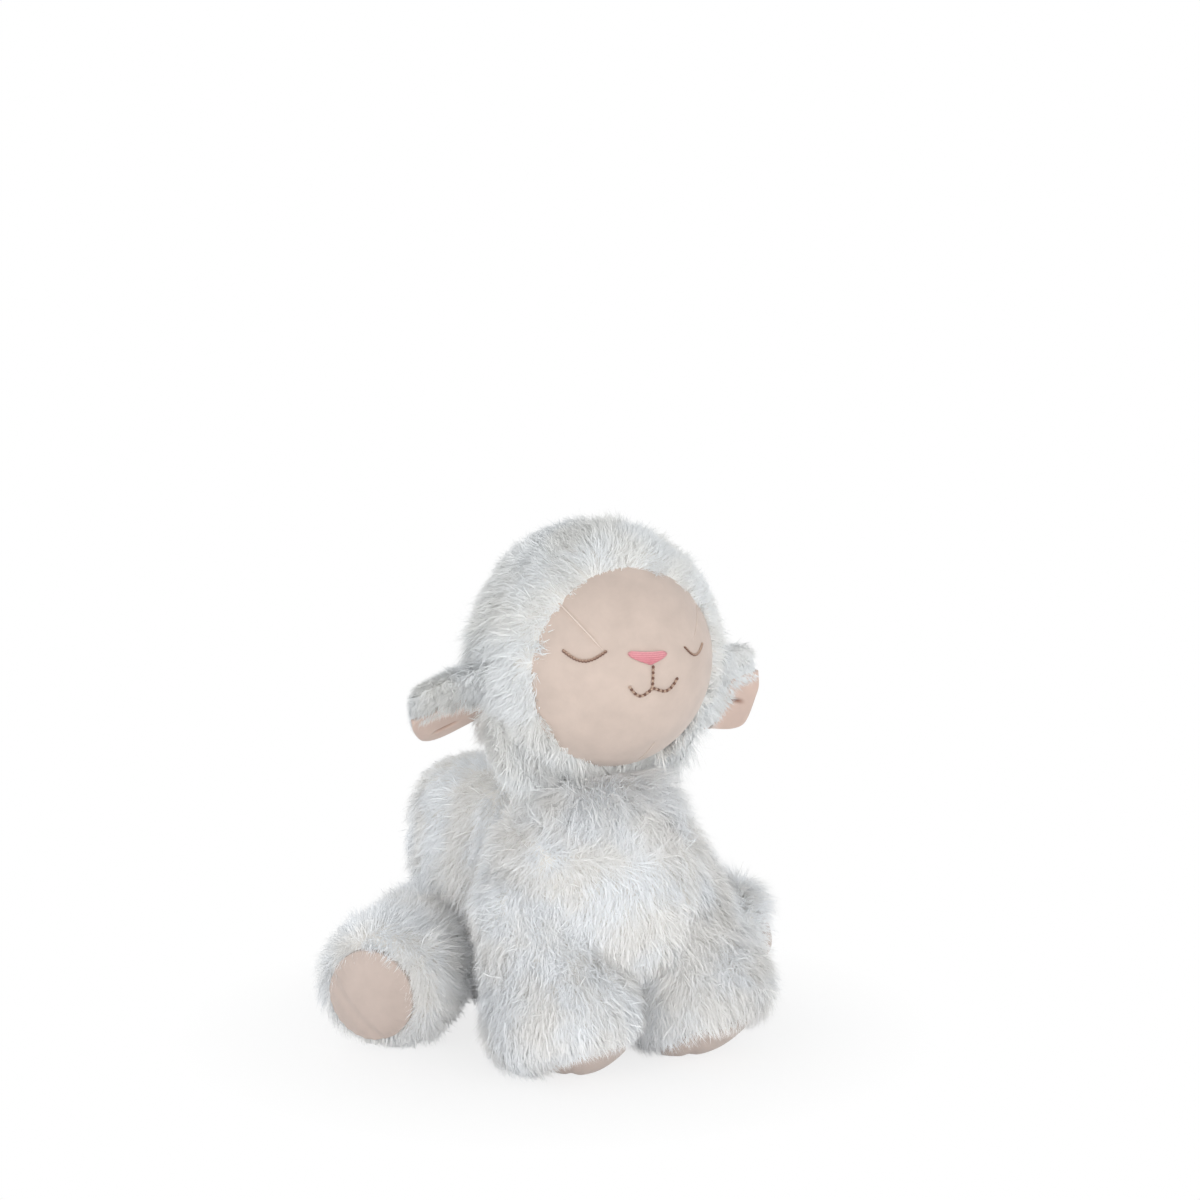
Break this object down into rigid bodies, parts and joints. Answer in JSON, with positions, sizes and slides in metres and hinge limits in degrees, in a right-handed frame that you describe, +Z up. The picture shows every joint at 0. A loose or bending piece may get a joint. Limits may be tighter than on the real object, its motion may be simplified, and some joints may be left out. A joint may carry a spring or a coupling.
{
  "type": "plush sheep",
  "caption": "Seated plush sheep with long-pile wool, a smooth face panel with stitched features, floppy ears, splayed legs with padded soles and a short tail.",
  "frame": {"origin": "middle of the sheep's box, on the surface that it sits on", "axes": "+Z up, the sheep faces -Y, its own left side is +X"},
  "size_m": [0.221, 0.2116, 0.2315],
  "materials": {
    "wool": "long soft pile, about 12 mm, dull",
    "head_wool": "long soft pile, about 12 mm, dull",
    "velboa": "short smooth pile, dull",
    "stuffing": "polyester fibre",
    "brown_thread": "embroidery thread",
    "pink_thread": "satin-stitched embroidery thread"
  },
  "bodies": {
    "torso": {"body_panel_left": "wool", "body_panel_right": "wool", "body_stuffing": "stuffing"},
    "neck": {"neck_skin": "wool", "neck_stuffing": "stuffing"},
    "head": {"head_panel_left": "head_wool", "head_panel_right": "head_wool", "face_panel": "velboa", "head_stuffing": "stuffing", "eye_stitch_left": "brown_thread", "eye_stitch_right": "brown_thread", "nose_stitch": "pink_thread", "mouth_stitch": "brown_thread"},
    "ear_left": {"ear_left_back": "head_wool", "ear_left_lining": "velboa"},
    "ear_right": {"ear_right_back": "head_wool", "ear_right_lining": "velboa"},
    "foreleg_left": {"foreleg_left_skin": "wool", "foreleg_left_stuffing": "stuffing", "foreleg_left_sole": "velboa"},
    "foreleg_right": {"foreleg_right_skin": "wool", "foreleg_right_stuffing": "stuffing", "foreleg_right_sole": "velboa"},
    "hindleg_left": {"hindleg_left_skin": "wool", "hindleg_left_stuffing": "stuffing", "hindleg_left_sole": "velboa"},
    "hindleg_right": {"hindleg_right_skin": "wool", "hindleg_right_stuffing": "stuffing", "hindleg_right_sole": "velboa"},
    "tail": {"tail_skin": "wool", "tail_stuffing": "stuffing"}
  },
  "joints": [
    {"name": "head_turn", "type": "hinge", "parent": "torso", "child": "neck", "pos_m": [-0.00761, -0.05277, 0.096], "axis": [0, 0, 1], "range_deg": [-35, 35], "stiffness_Nm_per_rad": 0.4},
    {"name": "head_nod", "type": "hinge", "parent": "neck", "child": "head", "pos_m": [-0.00761, -0.05277, 0.096], "axis": [1, 0, 0], "range_deg": [-10, 15], "stiffness_Nm_per_rad": 0.8},
    {"name": "ear_left_flop", "type": "hinge", "parent": "head", "child": "ear_left", "pos_m": [0.03777, -0.04892, 0.162], "axis": [0.0698, 0.9976, 0], "range_deg": [-15, 25], "stiffness_Nm_per_rad": 0.08},
    {"name": "ear_right_flop", "type": "hinge", "parent": "head", "child": "ear_right", "pos_m": [-0.05201, -0.04265, 0.162], "axis": [0.0698, 0.9976, 0], "range_deg": [-25, 15], "stiffness_Nm_per_rad": 0.08},
    {"name": "foreleg_left_swing", "type": "hinge", "parent": "torso", "child": "foreleg_left", "pos_m": [0.02239, -0.05177, 0.066], "axis": [1, 0, 0], "range_deg": [-20, 8], "stiffness_Nm_per_rad": 0.5},
    {"name": "foreleg_right_swing", "type": "hinge", "parent": "torso", "child": "foreleg_right", "pos_m": [-0.03761, -0.05177, 0.066], "axis": [1, 0, 0], "range_deg": [-20, 8], "stiffness_Nm_per_rad": 0.5},
    {"name": "hindleg_left_splay", "type": "hinge", "parent": "torso", "child": "hindleg_left", "pos_m": [0.03584, 0.01821, 0.0315], "axis": [0, 0, 1], "range_deg": [-7, 15], "stiffness_Nm_per_rad": 0.5},
    {"name": "hindleg_right_splay", "type": "hinge", "parent": "torso", "child": "hindleg_right", "pos_m": [-0.04106, 0.04026, 0.0315], "axis": [0, 0, 1], "range_deg": [-15, 7], "stiffness_Nm_per_rad": 0.5},
    {"name": "tail_wag", "type": "hinge", "parent": "torso", "child": "tail", "pos_m": [-0.00261, 0.07523, 0.078], "axis": [0, 0, 1], "range_deg": [-25, 25], "stiffness_Nm_per_rad": 0.05}
  ]
}
